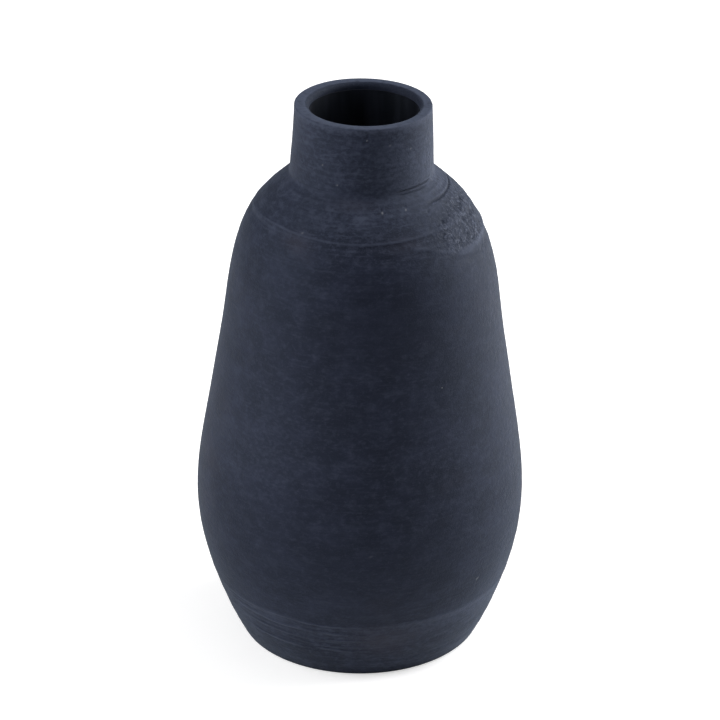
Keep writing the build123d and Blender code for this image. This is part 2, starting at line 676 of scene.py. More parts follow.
    def relief(self, angle: np.ndarray, height: np.ndarray, radius: np.ndarray) -> np.ndarray:
        """Works out how far the hands moved each point of the outside.

        Args:
            angle: degrees round from the front.
            height: metres above the table.
            radius: metres from the axis.

        Returns:
            The way outwards, in metres.
        """
        rings = self.rings.at(angle, height)
        rings += self.threads.at(angle + self.thread_turn * height, height)
        lumps = sum(layer.at(angle, height) for layer in self.lumps)
        grain = self.grain.at(angle, height) * self.grit(angle, height)
        moved = (rings * (0.55 + 1.6 * self.busy.at(height)) + lumps + grain) * MM
        for line in self.lines:
            moved = moved + line.relief(angle, height)
        for pit in self.pits:
            moved = moved - pit.depth * pit.closeness(angle, height, radius)
        trimmed = fade(height, self.trim_height + 1.5 * MM, self.trim_height - 2.0 * MM)
        facets = self.facets.at(angle + self.facet_turn * height, height)
        moved = moved + trimmed * (facets - self.trim_depth)
        return moved * fade(height, 0.0, self.foot_calm) + self._follow(self.swell, height)

    def set_askew(self, points: np.ndarray, outer: np.ndarray) -> None:
        """Sways the wall and dips the rim, in place.

        Args:
            points: places of the points, one row each.
            outer: 1 for points on the outside of the wall, 0 for points on its inside.
        """
        rise = points[:, 2].copy()
        neck = fade(rise, self.neck_start, self.height)
        dip = math.tan(math.radians(self.rim_dip)) * points[:, 0] * neck
        points[:, 0] += self._follow(self.sway, rise) + self.bore_shift * neck * (0.5 - outer)
        points[:, 2] -= dip

    @staticmethod
    def _follow(stations: Stations, height: np.ndarray) -> np.ndarray:
        """Reads a smooth line through a few (amount, height) stations at each height."""
        line = ThrownCurve(stations, (0.0, 1.0), (0.0, 1.0)).trace(600)
        return np.interp(height, line[:, 1], line[:, 0])


# -------------------------------------------------------------------------------------------- pieces


@dataclass
class Wheel:
    """Turns outlines into closed pieces and lets the potter's hand mark them.

    Attributes:
        wall: the wall that the pieces are cut from.
        hand: what the making left on it.
        columns: steps of a full turn.
        doublings: how often the first wedge is doubled to fill the turn.
        crisp: the angle between faces, in degrees, past which an edge stays sharp.
        near: how close to its ring an edge has to be, to be rounded.
    """

    wall: Wall
    hand: PottersHand
    columns: int = 384
    doublings: int = 5
    crisp: float = 35.0
    near: float = 0.02 * MM

    def turn(self, outline: Outline, closed: bool = True) -> bmesh.types.BMesh:
        """Spins an outline a full turn into a closed shell.

        Args:
            outline: radius and height of its points.
            closed: whether the last point joins the first, or both lie on the axis.

        Returns:
            The shell, its faces outwards.
        """
        shell = bmesh.new()
        points = [shell.verts.new((radius, 0.0, height)) for radius, height in outline]
        edges = [shell.edges.new(pair) for pair in zip(points, points[1:])]
        if closed:
            edges.append(shell.edges.new((points[-1], points[0])))
        wedge = math.tau / 2**self.doublings
        bmesh.ops.spin(
            shell,
            geom=points + edges,
            cent=(0.0, 0.0, 0.0),
            axis=(0.0, 0.0, 1.0),
            angle=wedge,
            steps=self.columns // 2**self.doublings,
            use_merge=False,
        )
        for doubling in range(self.doublings):
            whole = shell.verts[:] + shell.edges[:] + shell.faces[:]
            copied = bmesh.ops.duplicate(shell, geom=whole)["geom"]
            bmesh.ops.rotate(
                shell,
                verts=[part for part in copied if isinstance(part, bmesh.types.BMVert)],
                cent=(0.0, 0.0, 0.0),
                matrix=Matrix.Rotation(wedge * 2**doubling, 3, "Z"),
            )
        bmesh.ops.remove_doubles(shell, verts=shell.verts, dist=CLOSE)
        bmesh.ops.recalc_face_normals(shell, faces=shell.faces)
        return shell

    def round_edges(
        self, shell: bmesh.types.BMesh, radius: float, height: float, size: float, segments: int
    ) -> None:
        """Rounds the ring of edges at a radius and height.

        Args:
            shell: the shell that is changed.
            radius: radius of the ring.
            height: height of the ring.
            size: how far from the ring the rounding starts.
            segments: steps of the rounding.
        """

        def on_ring(end: bmesh.types.BMVert) -> bool:
            """Whether a point lies on the ring."""
            off = abs(math.hypot(end.co.x, end.co.y) - radius)
            return off < self.near and abs(end.co.z - height) < self.near

        ring = [edge for edge in shell.edges if all(on_ring(end) for end in edge.verts)]
        bmesh.ops.bevel(
            shell,
            geom=ring,
            offset=size,
            offset_type="OFFSET",
            affect="EDGES",
            segments=segments,
            profile=0.5,
            material=-1,
        )

    def finish(self, shell: bmesh.types.BMesh, name: str) -> bpy.types.Object:
        """Makes the shell an object, marks it by hand and smooths its shading.

        Args:
            shell: the turned shell, which is freed.
            name: the piece's name.

        Returns:
            The piece, at the origin.
        """
        crisp = math.radians(self.crisp)
        for edge in shell.edges:
            edge.smooth = edge.calc_face_angle(0.0) < crisp
        for face in shell.faces:
            face.smooth = True
        mesh = bpy.data.meshes.new(name)
        shell.to_mesh(mesh)
        shell.free()
        self._mark(mesh)
        return put_in_scene(name, mesh)

    def _mark(self, mesh: bpy.types.Mesh) -> None:
        """Moves the points as the hands did, and stores what the finish reads.

        Args:
            mesh: the mesh that is changed.
        """
        points = np.empty(len(mesh.vertices) * 3, np.float32)
        mesh.vertices.foreach_get("co", points)
        points = points.reshape(-1, 3).astype(float)
        radius = np.hypot(points[:, 0], points[:, 1])
        angle = np.degrees(np.arctan2(points[:, 0], -points[:, 1]))
        height = points[:, 2].copy()
        outside, inside = self.wall.outside(), self.wall.inside()
        outer_radius = np.interp(height, outside[:, 1], outside[:, 0])
        inner_radius = np.interp(height, inside[:, 1], inside[:, 0])
        middle = (outer_radius + inner_radius) / 2
        outer = fade((radius - middle) / (outer_radius - middle), 0.0, 1.0)
        skin = np.maximum(outer, fade(height, self.hand.height - 3 * MM, self.hand.height - 1 * MM))
        slope = np.interp(height, outside[:, 1], np.gradient(outside[:, 0], outside[:, 1]))
        steep = np.hypot(1.0, slope)
        moved = self.hand.relief(angle, height, radius) * outer
        points[:, :2] += points[:, :2] / np.maximum(radius, CLOSE)[:, None] * (moved / steep)[:, None]
        points[:, 2] -= moved * slope / steep
        self.hand.set_askew(points, outer)
        mesh.vertices.foreach_set("co", points.astype(np.float32).ravel())
        lines = sum(line.relief(angle, height) for line in self.hand.lines)
        lines = lines - sum(pit.depth * pit.closeness(angle, height, radius) for pit in self.hand.pits)
        specks = sum(speck.closeness(angle, height, radius) for speck in self.hand.specks)
        self._store(mesh, Mark.RELIEF, lines * outer / MM)
        self._store(mesh, Mark.SCUFF_AND_PAINTED_LIGHT, self.hand.scuff_and_painted_light(angle, height, radius) * skin)
        self._store(mesh, Mark.WHEEL, self.hand.wheel(angle, height) * skin)
        self._store(mesh, Mark.EARTH, self.hand.earth(angle, height) * skin)
        self._store(mesh, Mark.GRIT, self.hand.grit(angle, height) * outer)
        self._store(mesh, Mark.SPECK, specks * outer)
        mesh.update()

    @staticmethod
    def _store(mesh: bpy.types.Mesh, mark: Mark, values: np.ndarray) -> None:
        """Keeps one value for each point of the mesh."""
        attribute = mesh.attributes.new(mark.value, "FLOAT", "POINT")
        attribute.data.foreach_set("value", values.astype(np.float32))


@dataclass
class Section:
    """A thrown section of the wall between two joints.

    Attributes:
        wheel: turns the section.
        name: the piece's name.
        node: the node that it stands for.
        low: height of its lower joint on the outside.
        high: height of its upper joint on the outside.
        low_tilt: degrees that the lower joint rises outwards.
        high_tilt: degrees that the upper joint rises outwards.
        outer_step: spacing of its rows on the outside.
        inner_step: spacing of its rows on the inside.
        slot: the material slot that it stands for; not used.
    """

    wheel: Wheel
    name: str
    node: str
    low: float
    high: float
    low_tilt: float = 0.0
    high_tilt: float = 0.0
    outer_step: float = 0.86 * MM
    inner_step: float = 8.0 * MM
    slot: Slot = Slot.CLAY

    def outline(self) -> Outline:
        """Draws the section: up the outside, in along a joint and down the inside.

        Returns:
            Its closed outline.
        """
        wall = self.wheel.wall
        outer = stretch(wall.outside(), self.low, self.high, self.outer_step)
        low_in = wall.crossing(self.low, self.low_tilt)
        high_in = wall.crossing(self.high, self.high_tilt)
        inner = stretch(wall.inside(), low_in[1], high_in[1], self.inner_step)
        return outer + inner[::-1]

    def shape(self) -> bmesh.types.BMesh:
        """Turns the section's outline."""
        return self.wheel.turn(self.outline())

    def build(self, finish: bpy.types.Material) -> bpy.types.Object:
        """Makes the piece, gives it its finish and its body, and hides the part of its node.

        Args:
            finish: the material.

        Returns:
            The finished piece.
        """
        piece = self.wheel.finish(self.shape(), self.name)
        piece.data.materials.append(finish)
        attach(piece, "root")
        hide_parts(self.node)
        triangles = sum(len(face.vertices) - 2 for face in piece.data.polygons)
        log.info("%s stands for %s: %d triangles", self.name, self.node, triangles)
        return piece


@dataclass
class Foot(Section):
    """The thrown floor and the trimmed lower wall, with a shallow turned ring to stand on.

    Attributes:
        ring_width: width of the ring that touches the table.
        recess: depth of the recess inside the ring.
        edge_round: rounding of the foot's outer edge.
        ring_round: rounding of the ring's inner edge.
        floor_step: spacing of its rows on the underside.
    """

    ring_width: float = 7.0 * MM
    recess: float = 1.5 * MM
    edge_round: float = 0.9 * MM
    ring_round: float = 0.4 * MM
    floor_step: float = 6.0 * MM

    def outline(self) -> Outline:
        """Draws the foot, from the middle of the underside round to the middle of the floor.

        Returns:
            Its open outline.
        """
        wall = self.wheel.wall
        outer = stretch(wall.outside(), self.edge_round * 1.5, self.high, self.outer_step)
        high_in = wall.crossing(self.high, self.high_tilt)
        inner = stretch(wall.inside(), wall.floor_height, high_in[1], self.inner_step)
        ring = wall.outline[0][0] - self.ring_width
        hollow = ring - self.recess
        steps = max(2, round(hollow / self.floor_step))
        underside = [(hollow * n / steps, self.recess) for n in range(steps + 1)]
        stand = [(ring, 0.0), wall.outline[0]]
        return underside + stand + outer + inner[::-1] + [(0.0, wall.floor_height)]

    def shape(self) -> bmesh.types.BMesh:
        """Turns the foot and rounds both edges of the ring that it stands on.

        Returns:
            The foot's shell.
        """
        shell = self.wheel.turn(self.outline(), closed=False)
        foot_radius = self.wheel.wall.outline[0][0]
        self.wheel.round_edges(shell, foot_radius, 0.0, self.edge_round, 5)
        self.wheel.round_edges(shell, foot_radius - self.ring_width, 0.0, self.ring_round, 3)
        return shell


@dataclass
class Shoulder(Section):
    """The dome under the neck, with a land for the neck and a step for the coil.

    Attributes:
        coil_bore: inside radius of the coil.
        coil_low: height of the step that the coil lies on.
        seat: height of the land that the neck stands on.
    """

    coil_bore: float = 0.0
    coil_low: float = 0.0
    seat: float = 0.0

    def outline(self) -> Outline:
        """Draws the shoulder, with the land and the step in its top.

        Returns:
            Its closed outline.
        """
        wall = self.wheel.wall
        outer = stretch(wall.outside(), self.low, self.coil_low, self.outer_step)
        low_in = wall.crossing(self.low, self.low_tilt)
        inner = stretch(wall.inside(), low_in[1], self.seat, self.inner_step)
        land = [(self.coil_bore, self.coil_low), (self.coil_bore, self.seat)]
        return outer + land + inner[::-1]


@dataclass
class Neck(Section):
    """The collar, from its seat on the shoulder to its flat rim.

    Attributes:
        coil_bore: inside radius of the coil.
        coil_high: height of the top of the coil.
        rim_margin: height below the rim that is kept free for its roundings.
        crown: how far across the rim, from the bore, its two roundings meet.
        outer_round: rounding of the rim's outer edge.
        inner_round: rounding of the rim's inner lip.
    """

    coil_bore: float = 0.0
    coil_high: float = 0.0
    rim_margin: float = 3.2 * MM
    crown: float = 0.62
    outer_round: float = 0.6 * MM
    inner_round: float = 2.3 * MM

    def outline(self) -> Outline:
        """Draws the neck, its rim still square.

        Returns:
            Its closed outline.
        """
        wall = self.wheel.wall
        below_rim = self.high - self.rim_margin
        outer = stretch(wall.outside(), self.coil_high, below_rim, self.outer_step)
        inner = stretch(wall.inside(), self.low, below_rim, self.inner_step)
        rim_out, rim_in = float(wall.outside()[-1, 0]), float(wall.inside()[-1, 0])
        crown = rim_in + (rim_out - rim_in) * self.crown
        base = [(self.coil_bore, self.low), (self.coil_bore, self.coil_high)]
        rim = [(rim_out, self.high), (crown, self.high), (rim_in, self.high)]
        return base + outer + rim + inner[::-1]

    def shape(self) -> bmesh.types.BMesh:
        """Turns the neck and rounds both edges of its rim.

        Returns:
            The neck's shell.
        """
        shell = self.wheel.turn(self.outline())
        wall = self.wheel.wall
        rim_out = float(wall.outside()[-1, 0])
        rim_in = float(wall.inside()[-1, 0])
        self.wheel.round_edges(shell, rim_out, self.high, self.outer_round, 6)
        self.wheel.round_edges(shell, rim_in, self.high, self.inner_round, 8)
        return shell


@dataclass
class NeckCoil(Section):
    """The coil of clay pressed into the corner between the shoulder and the neck.

    Attributes:
        bore: inside radius of the coil.
    """

    bore: float = 0.0

    def outline(self) -> Outline:
        """The coil's closed outline: its smoothed outside, and its straight back and bed."""
        outer = stretch(self.wheel.wall.outside(), self.low, self.high, self.outer_step)
        return outer + [(self.bore, self.high), (self.bore, self.low)]


@dataclass
class NeckSeam(Section):
    """The slip squeezed out flat between the shoulder and the neck, behind the coil.

    Attributes:
        bore: inside radius of the coil that hides it.
    """

    bore: float = 0.0

    def outline(self) -> Outline:
        """The ring's closed outline."""
        inner = stretch(self.wheel.wall.inside(), self.low, self.high, self.inner_step)
        return [(self.bore, self.low), (self.bore, self.high)] + inner[::-1]


@dataclass
class Liner(Section):
    """The glaze that was poured in and out again, from the floor to just under the rim.

    Attributes:
        coat: its thickness.
    """

    coat: float = 0.4 * MM
    slot: Slot = Slot.GLAZE

    def outline(self) -> Outline:
        """Draws the liner: up against the clay, and back down its own face.

        Returns:
            Its open outline.
        """
        wall = self.wheel.wall
        low = wall.floor_height
        against = stretch(wall.inside(), low, self.high, self.inner_step)
        face = stretch(wall.inside(self.coat), low + self.coat, self.high, self.inner_step)
        return [(0.0, low)] + against + face[::-1] + [(0.0, low + self.coat)]

    def shape(self) -> bmesh.types.BMesh:
        """Turns the liner."""
        return self.wheel.turn(self.outline(), closed=False)


# ------------------------------------------------------------------------------------------ finishes


@dataclass(frozen=True)
class Cloud:
    """A cloudy pattern.

    Attributes:
        across: how many patches there are to a metre, level.
        up: how many there are to a metre, upwards.
        layers: how many finer layers it has.
        roughness: how strong the finer layers are.
    """

    across: float
    up: float
    layers: float
    roughness: float


@dataclass
class Recipe:
    """Adds the nodes of one material and joins them.

    Attributes:
        material: the material that is being mixed.
    """

    material: bpy.types.Material

    @classmethod
    def start(cls, name: str) -> "Recipe":
        """Starts an empty recipe.

        Args:
            name: the new material's name.

        Returns:
            The recipe.
        """
        material = bpy.data.materials.new(name)
        material.use_nodes = True
        material.node_tree.nodes.clear()
        return cls(material)

    def add(
        self, kind: str, inputs: dict[str | int, object] | None = None, **settings: object
    ) -> bpy.types.Node:
        """Adds a node, sets its own settings and feeds its inputs.

        Args:
            kind: the node's type.
            inputs: for each input, a value or another node's output.
            settings: names and values of the node's settings.

        Returns:
            The node.
        """
        tree = self.material.node_tree
        node = tree.nodes.new(kind)
        for key, value in settings.items():
            setattr(node, key, value)
        for key, value in (inputs or {}).items():
            if isinstance(value, bpy.types.NodeSocket):
                tree.links.new(value, node.inputs[key])
            else:
                node.inputs[key].default_value = value
        return node

    def place(self, across: float, up: float) -> bpy.types.NodeSocket:
        """Stretches Object coordinates.

        Args:
            across: the scale of both level axes.
            up: the scale of the upright axis.

        Returns:
            The stretched coordinates.
        """
        coordinates = self.add("ShaderNodeTexCoord").outputs["Object"]
        inputs = {"Vector": coordinates, "Scale": (across, across, up)}
        return self.add("ShaderNodeMapping", inputs).outputs["Vector"]

    def noise(self, cloud: Cloud) -> bpy.types.NodeSocket:
        """Makes a cloudy pattern.

        Args:
            cloud: its size and depth.

        Returns:
            Values around a half.
        """
        place = self.place(cloud.across, cloud.up)
        inputs = {"Vector": place, "Scale": 1.0, "Detail": cloud.layers, "Roughness": cloud.roughness}
        return self.add("ShaderNodeTexNoise", inputs, noise_dimensions="3D").outputs["Fac"]

    def grains(self, scale: float, share: float, size: float) -> bpy.types.NodeSocket:
        """Scatters round grains.

        Args:
            scale: how many cells there are to a metre.
            share: the share of the cells that hold a grain.
            size: radius of a grain, as a share of its cell.

        Returns:
            1 inside a grain and 0 outside it.
        """
        inputs = {"Vector": self.place(scale, scale), "Scale": 1.0}
        cells = self.add("ShaderNodeTexVoronoi", inputs, feature="F1", voronoi_dimensions="3D")
        lucky = self.add("ShaderNodeSeparateColor", {"Color": cells.outputs["Color"]})
        chosen = self.math("LESS_THAN", lucky.outputs["Red"], share)
        return self.times(chosen, self.ramp(cells.outputs["Distance"], size, size * 0.6))

    def mark(self, mark: Mark) -> bpy.types.NodeSocket:
        """One of the values that the pieces carry."""
        return self.add("ShaderNodeAttribute", attribute_name=mark.value).outputs["Fac"]

    def math(self, operation: str, first: object, second: object) -> bpy.types.NodeSocket:
        """One sum on two values."""
        return self.add("ShaderNodeMath", {0: first, 1: second}, operation=operation).outputs["Value"]

    def times(self, first: object, second: object) -> bpy.types.NodeSocket:
        """One value times another."""
        return self.math("MULTIPLY", first, second)

    def ramp(
        self, value: object, low: float, high: float, start: float = 0.0, end: float = 1.0
    ) -> bpy.types.NodeSocket:
        """Brings values from one range onto another, smoothly, and holds them there.

        Args:
            value: the values.
            low: the value that becomes start.
            high: the value that becomes end.
            start: where the new range starts.
            end: where the new range ends.

        Returns:
            The new values.
        """
        inputs = {"Value": value, "From Min": low, "From Max": high, "To Min": start, "To Max": end}
        settings = {"clamp": True, "interpolation_type": "SMOOTHSTEP"}
        return self.add("ShaderNodeMapRange", inputs, **settings).outputs["Result"]

    def mix(self, amount: object, first: object, second: object) -> bpy.types.NodeSocket:
        """Mixes two colours.

        Args:
            amount: the share of the second colour, from 0 to 1.
            first: the first colour.
            second: the second colour.

        Returns:
            The mixed colour.
        """
        inputs = {"Factor": amount, 6: first, 7: second}
        settings = {"data_type": "RGBA", "blend_type": "MIX", "clamp_factor": True}
        return self.add("ShaderNodeMix", inputs, **settings).outputs[2]

    def bump(
        self, height: object, distance: float, strength: float, below: object = None
    ) -> bpy.types.NodeSocket:
        """Bends the shading as if the surface rose by the height times the distance.

        Args:
            height: the heights, around 0 to 1.
            distance: how far a height of 1 rises, in metres.
            strength: how much of it shows.
            below: the bent shading that it lies on, if any.

        Returns:
            The bent shading.
        """
        inputs = {"Height": height, "Distance": distance, "Strength": strength}
        if below is not None:
            inputs["Normal"] = below
        return self.add("ShaderNodeBump", inputs).outputs["Normal"]

    def surface(self, **sockets: object) -> bpy.types.Material:
        """Ends the recipe with its shader.

        Args:
            sockets: values or outputs for the shader's sockets, spaces written as underscores.

        Returns:
            The finished material.
        """
        named = {name.replace("_", " "): value for name, value in sockets.items()}
        shader = self.add("ShaderNodeBsdfPrincipled", named)
        self.add("ShaderNodeOutputMaterial", {"Surface": shader.outputs["BSDF"]})
        return self.material


@dataclass(frozen=True)
class BlackStoneware:
    """Unglazed blue-black stoneware, fired matte and rubbed a little by use, with highlight and shade
    painted into its colour.

    Attributes:
        name: the material's name.
        deep: the darkest clay, also the colour of painted shade.
        slate: the usual clay.
        worn_and_highlight: clay rubbed pale, also the colour of painted highlights.
        dust: the pale grains of the rough skin.
        earth: the warmer tint of a smear.
        grog: the pale grains.
        cold: tint of its faint shine.
        shine: strength of its faint shine.
        sheen: strength of the bloom on its skin at a glancing angle.
        sheen_spread: softness of that bloom.
        drift: broad clouds from the darkest clay to the usual clay.
        patches: patches the size of a fingertip.
        mottle: the fine mottle.
        dashes: short level dashes.
        streaks: long level streaks.
        sand: the sandy grain.
        warmth: broad clouds of warmer clay.
        blotch: the blotches of the rough skin.
    """

    name: str = "black_stoneware"
    deep: Colour = (0.0072, 0.0086, 0.0182, 1.0)
    slate: Colour = (0.0128, 0.0151, 0.0300, 1.0)
    worn_and_highlight: Colour = (0.0390, 0.0455, 0.0720, 1.0)
    dust: Colour = (0.0860, 0.0960, 0.1300, 1.0)
    earth: Colour = (0.0290, 0.0245, 0.0335, 1.0)
    grog: Colour = (0.2600, 0.2700, 0.2900, 1.0)
    cold: Colour = (0.62, 0.77, 1.00, 1.0)
    shine: float = 0.23
    sheen: float = 0.12
    sheen_spread: float = 0.45
    drift: Cloud = Cloud(60.0, 80.0, 4.0, 0.6)
    patches: Cloud = Cloud(170.0, 240.0, 2.0, 0.5)
    mottle: Cloud = Cloud(430.0, 640.0, 3.0, 0.6)
    dashes: Cloud = Cloud(85.0, 820.0, 3.0, 0.6)
    streaks: Cloud = Cloud(9.0, 640.0, 4.0, 0.6)
    sand: Cloud = Cloud(1500.0, 1700.0, 2.0, 0.6)
    warmth: Cloud = Cloud(22.0, 34.0, 2.0, 0.5)
    blotch: Cloud = Cloud(620.0, 700.0, 2.0, 0.6)

    def mix(self) -> bpy.types.Material:
        """Mixes the material, from the clay itself to the grains on its skin.

        Returns:
            The material.
        """
        recipe = Recipe.start(self.name)
        mottle = recipe.noise(self.mottle)
        dashes = recipe.noise(self.dashes)
        sand = recipe.noise(self.sand)
        blotch = recipe.noise(self.blotch)
        relief, grit, scuff_and_painted_light, wheel = (
            recipe.mark(mark) for mark in (Mark.RELIEF, Mark.GRIT, Mark.SCUFF_AND_PAINTED_LIGHT, Mark.WHEEL)
        )
        worked = recipe.ramp(wheel, 0.2, 1.0, start=0.75, end=1.9)
        streaks = recipe.noise(self.streaks)
        colour = recipe.mix(recipe.ramp(recipe.noise(self.drift), 0.36, 0.64), self.deep, self.slate)
        colour = self.shade(recipe, colour, recipe.noise(self.patches), worked, 0.25)
        colour = self.shade(recipe, colour, mottle, worked, 0.38)
        warm = recipe.ramp(recipe.noise(self.warmth), 0.60, 0.76, end=0.22)
        loose = recipe.grains(scale=230.0, share=0.010, size=0.075)
        grains = recipe.math("MAXIMUM", loose, recipe.mark(Mark.SPECK))
        layers = (
            (recipe.times(wheel, recipe.ramp(streaks, 0.50, 0.76, end=0.45)), self.worn_and_highlight),
            (recipe.times(wheel, recipe.ramp(dashes, 0.54, 0.74, end=0.75)), self.worn_and_highlight),
            (recipe.times(wheel, recipe.ramp(dashes, 0.46, 0.30, end=0.8)), self.deep),
            (recipe.math("ADD", warm, recipe.mark(Mark.EARTH)), self.earth),
            # pale where the skin is scuffed, and painted highlight on the rim, the upper shoulder and
            # the right of the neck
            (recipe.times(scuff_and_painted_light, recipe.ramp(mottle, 0.32, 0.68, start=0.45, end=1.55)), self.worn_and_highlight),
            # painted shade where the mark is negative: inside the mouth, along the foot's bottom edge
            # and in darker patches
            (recipe.times(scuff_and_painted_light, -1.0), self.deep),
            # painted highlight: the raised turned lines made paler
            (recipe.ramp(relief, 0.03, 0.35, end=0.65), self.worn_and_highlight),
            # painted shade: the grooves and pits made darker
            (recipe.ramp(relief, -0.04, -0.35, end=0.90), self.deep),
            (recipe.times(recipe.times(grit, recipe.ramp(blotch, 0.50, 0.40)), 0.9), self.deep),
            (recipe.times(recipe.times(grit, recipe.ramp(blotch, 0.54, 0.66)), 0.75), self.dust),
            (recipe.times(worked, recipe.ramp(sand, 0.50, 0.74, end=0.22)), self.worn_and_highlight),
            (recipe.times(grains, 0.6), self.grog),
        )
        for amount, tint in layers:
            colour = recipe.mix(amount, colour, tint)
        sandy = recipe.times(sand, recipe.ramp(grit, 0.0, 0.8, start=0.45, end=1.0))
        rough = recipe.times(blotch, grit)
        normal = recipe.bump(dashes, distance=0.22 * MM, strength=0.35)
        normal = recipe.bump(mottle, distance=0.30 * MM, strength=0.45, below=normal)
        normal = recipe.bump(sandy, distance=0.24 * MM, strength=0.8, below=normal)
        normal = recipe.bump(rough, distance=0.80 * MM, strength=0.9, below=normal)
        return recipe.surface(
            Base_Color=colour,
            Roughness=recipe.ramp(mottle, 0.30, 0.70, start=0.64, end=0.76),
            Normal=normal,
            Specular_IOR_Level=self.shine,
            Specular_Tint=self.cold,
            Sheen_Weight=self.sheen,
            Sheen_Roughness=self.sheen_spread,
            Sheen_Tint=self.cold,
        )

    def shade(
        self,
        recipe: Recipe,
        colour: bpy.types.NodeSocket,
        cloud: bpy.types.NodeSocket,
        worked: bpy.types.NodeSocket,
        depth: float,
    ) -> bpy.types.NodeSocket:
        """Lightens a colour where a cloud is thick and darkens it where the cloud is thin.

        Args:
            recipe: the material's recipe.
            colour: the colour so far.
            cloud: the cloud.
            worked: how strongly the skin was worked there.
            depth: how strong the change is.

        Returns:
            The mottled colour.
        """
        pale = recipe.times(worked, recipe.ramp(cloud, 0.48, 0.70, end=depth))
        dark = recipe.times(worked, recipe.ramp(cloud, 0.50, 0.30, end=depth * 1.9))
        return recipe.mix(dark, recipe.mix(pale, colour, self.worn_and_highlight), self.deep)


@dataclass(frozen=True)
class FiredSlip(BlackStoneware):
    """Slip that was squeezed out of a joint and wiped down, a shade paler than the clay."""

    name: str = "fired_slip"
    deep: Colour = (0.0076, 0.0090, 0.0188, 1.0)
    slate: Colour = (0.0134, 0.0158, 0.0310, 1.0)
    worn_and_highlight: Colour = (0.0395, 0.0460, 0.0725, 1.0)


@dataclass(frozen=True)
class LinerGlaze:
    """The near-black satin glaze inside.

    Attributes:
        name: the material's name.
        pool: the glaze where it is thick.
        film: the glaze where it broke thin.
        cold: tint of its shine.
        shine: strength of its shine.
        runs: the runs from thick to thin.
        ripple: the fine ripple of its surface.
    """

    name: str = "liner_glaze"
    pool: Colour = (0.0030, 0.0032, 0.0050, 1.0)
    film: Colour = (0.0100, 0.0110, 0.0170, 1.0)
    cold: Colour = (0.62, 0.77, 1.00, 1.0)
    shine: float = 0.28
    runs: Cloud = Cloud(160.0, 22.0, 3.0, 0.5)
    ripple: Cloud = Cloud(900.0, 900.0, 2.0, 0.5)

    def mix(self) -> bpy.types.Material:
        """Mixes the material.

        Returns:
            The material.
        """
        recipe = Recipe.start(self.name)
        runs = recipe.noise(self.runs)
        colour = recipe.mix(recipe.ramp(runs, 0.35, 0.72), self.pool, self.film)
        return recipe.surface(
            Base_Color=colour,
            Roughness=recipe.ramp(runs, 0.3, 0.7, start=0.50, end=0.62),
            Normal=recipe.bump(recipe.noise(self.ripple), distance=0.05 * MM, strength=0.4),
            Specular_IOR_Level=self.shine,
            Specular_Tint=self.cold,
        )


@dataclass(frozen=True)
class StudioPaper:
    """The pale paper that the vase stands on.

    Attributes:
        name: the material's name.
        sheet: the paper's colour.
        fibre: the colour of its faint fibres.
        glow: how much the camera sees it glow, as paper on a light table does.
        fibres: how the fibres lie.
    """

    name: str = "studio_paper"
    sheet: Colour = (0.84, 0.84, 0.84, 1.0)
    fibre: Colour = (0.81, 0.81, 0.815, 1.0)
    glow: float = 0.62
    fibres: Cloud = Cloud(60.0, 60.0, 3.0, 0.5)

    def mix(self) -> bpy.types.Material:
        """Mixes the material.

        Returns:
            The material.
        """
        recipe = Recipe.start(self.name)
        colour = recipe.mix(recipe.noise(self.fibres), self.sheet, self.fibre)
        seen = recipe.add("ShaderNodeLightPath").outputs["Is Camera Ray"]
        return recipe.surface(
            Base_Color=colour,
            Roughness=0.9,
            Specular_IOR_Level=0.1,
            Emission_Color=self.sheet,
            Emission_Strength=recipe.times(seen, self.glow),
        )


# -------------------------------------------------------------------------------------------- studio


@dataclass(frozen=True)
class Softbox:
    """A large soft lamp that faces the vase.

    Attributes:
        name: the lamp's name.
        bearing: degrees round from the front, to the right.
        elevation: degrees above the level.
        distance: how far away it stands.
        width: its size across.
        tall: its size up.
        power: its power in watts.
    """

    name: str
    bearing: float
    elevation: float
    distance: float
    width: float
    tall: float
    power: float

    def hang(self, target: Vector) -> bpy.types.Object:
        """Hangs the lamp in the scene.

        Args:
            target: the point that it faces.

        Returns:
            The lamp.
        """
        lamp = bpy.data.lights.new(self.name, "AREA")
        lamp.shape = "RECTANGLE"
        lamp.size = self.width
        lamp.size_y = self.tall
        lamp.energy = self.power
        holder = put_in_scene(self.name, lamp)
        bearing, rise = math.radians(self.bearing), math.radians(self.elevation)
        level = math.cos(rise)
        away = Vector((math.sin(bearing) * level, -math.cos(bearing) * level, math.sin(rise)))
        holder.location = target + away * self.distance
        holder.rotation_euler = (-away).to_track_quat("-Z", "Y").to_euler()
        return holder


